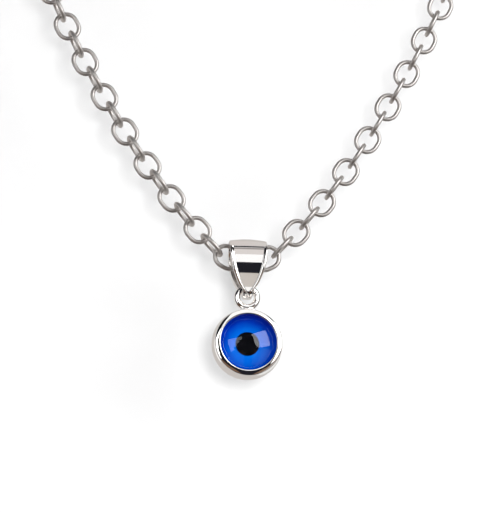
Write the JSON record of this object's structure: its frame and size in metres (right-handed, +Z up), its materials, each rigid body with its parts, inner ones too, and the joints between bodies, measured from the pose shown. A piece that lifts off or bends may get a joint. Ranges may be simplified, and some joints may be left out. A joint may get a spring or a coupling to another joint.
{
  "type": "evil eye pendant on a chain",
  "caption": "Round silver pendant with a blue glass eye, hung by a ring and a tapered bail from a closed cable chain, shown hanging as worn.",
  "frame": {"origin": "under the middle of the clasp, where the closed chain hangs over the nape", "axes": "+Z up along the hanging length, -Y the way the eye looks, X across the loop"},
  "size_m": [0.103, 0.0045, 0.1991],
  "materials": {
    "chain_silver": "polished silver wire",
    "polished_silver": "mirror-polished silver",
    "clear_glass": "clear polished dome",
    "blue_iris": "royal blue enamel, lighter towards the pupil",
    "black_pupil": "black enamel"
  },
  "bodies": {
    "chain": {"chain_left": "chain_silver", "chain_right": "chain_silver", "clasp": "polished_silver"},
    "bail": {"bail": "polished_silver"},
    "drop": {"setting": "polished_silver", "glass": "clear_glass", "iris": "blue_iris", "pupil": "black_pupil"}
  },
  "joints": [
    {"name": "bail_swing", "type": "hinge", "parent": "chain", "child": "bail", "pos_m": [0, 0, -0.18189], "axis": [1, 0, 0], "range_deg": [-60, 60]},
    {"name": "drop_swing", "type": "hinge", "parent": "bail", "child": "drop", "pos_m": [0, 0, -0.18542], "axis": [1, 0, 0], "range_deg": [-25, 25]}
  ]
}
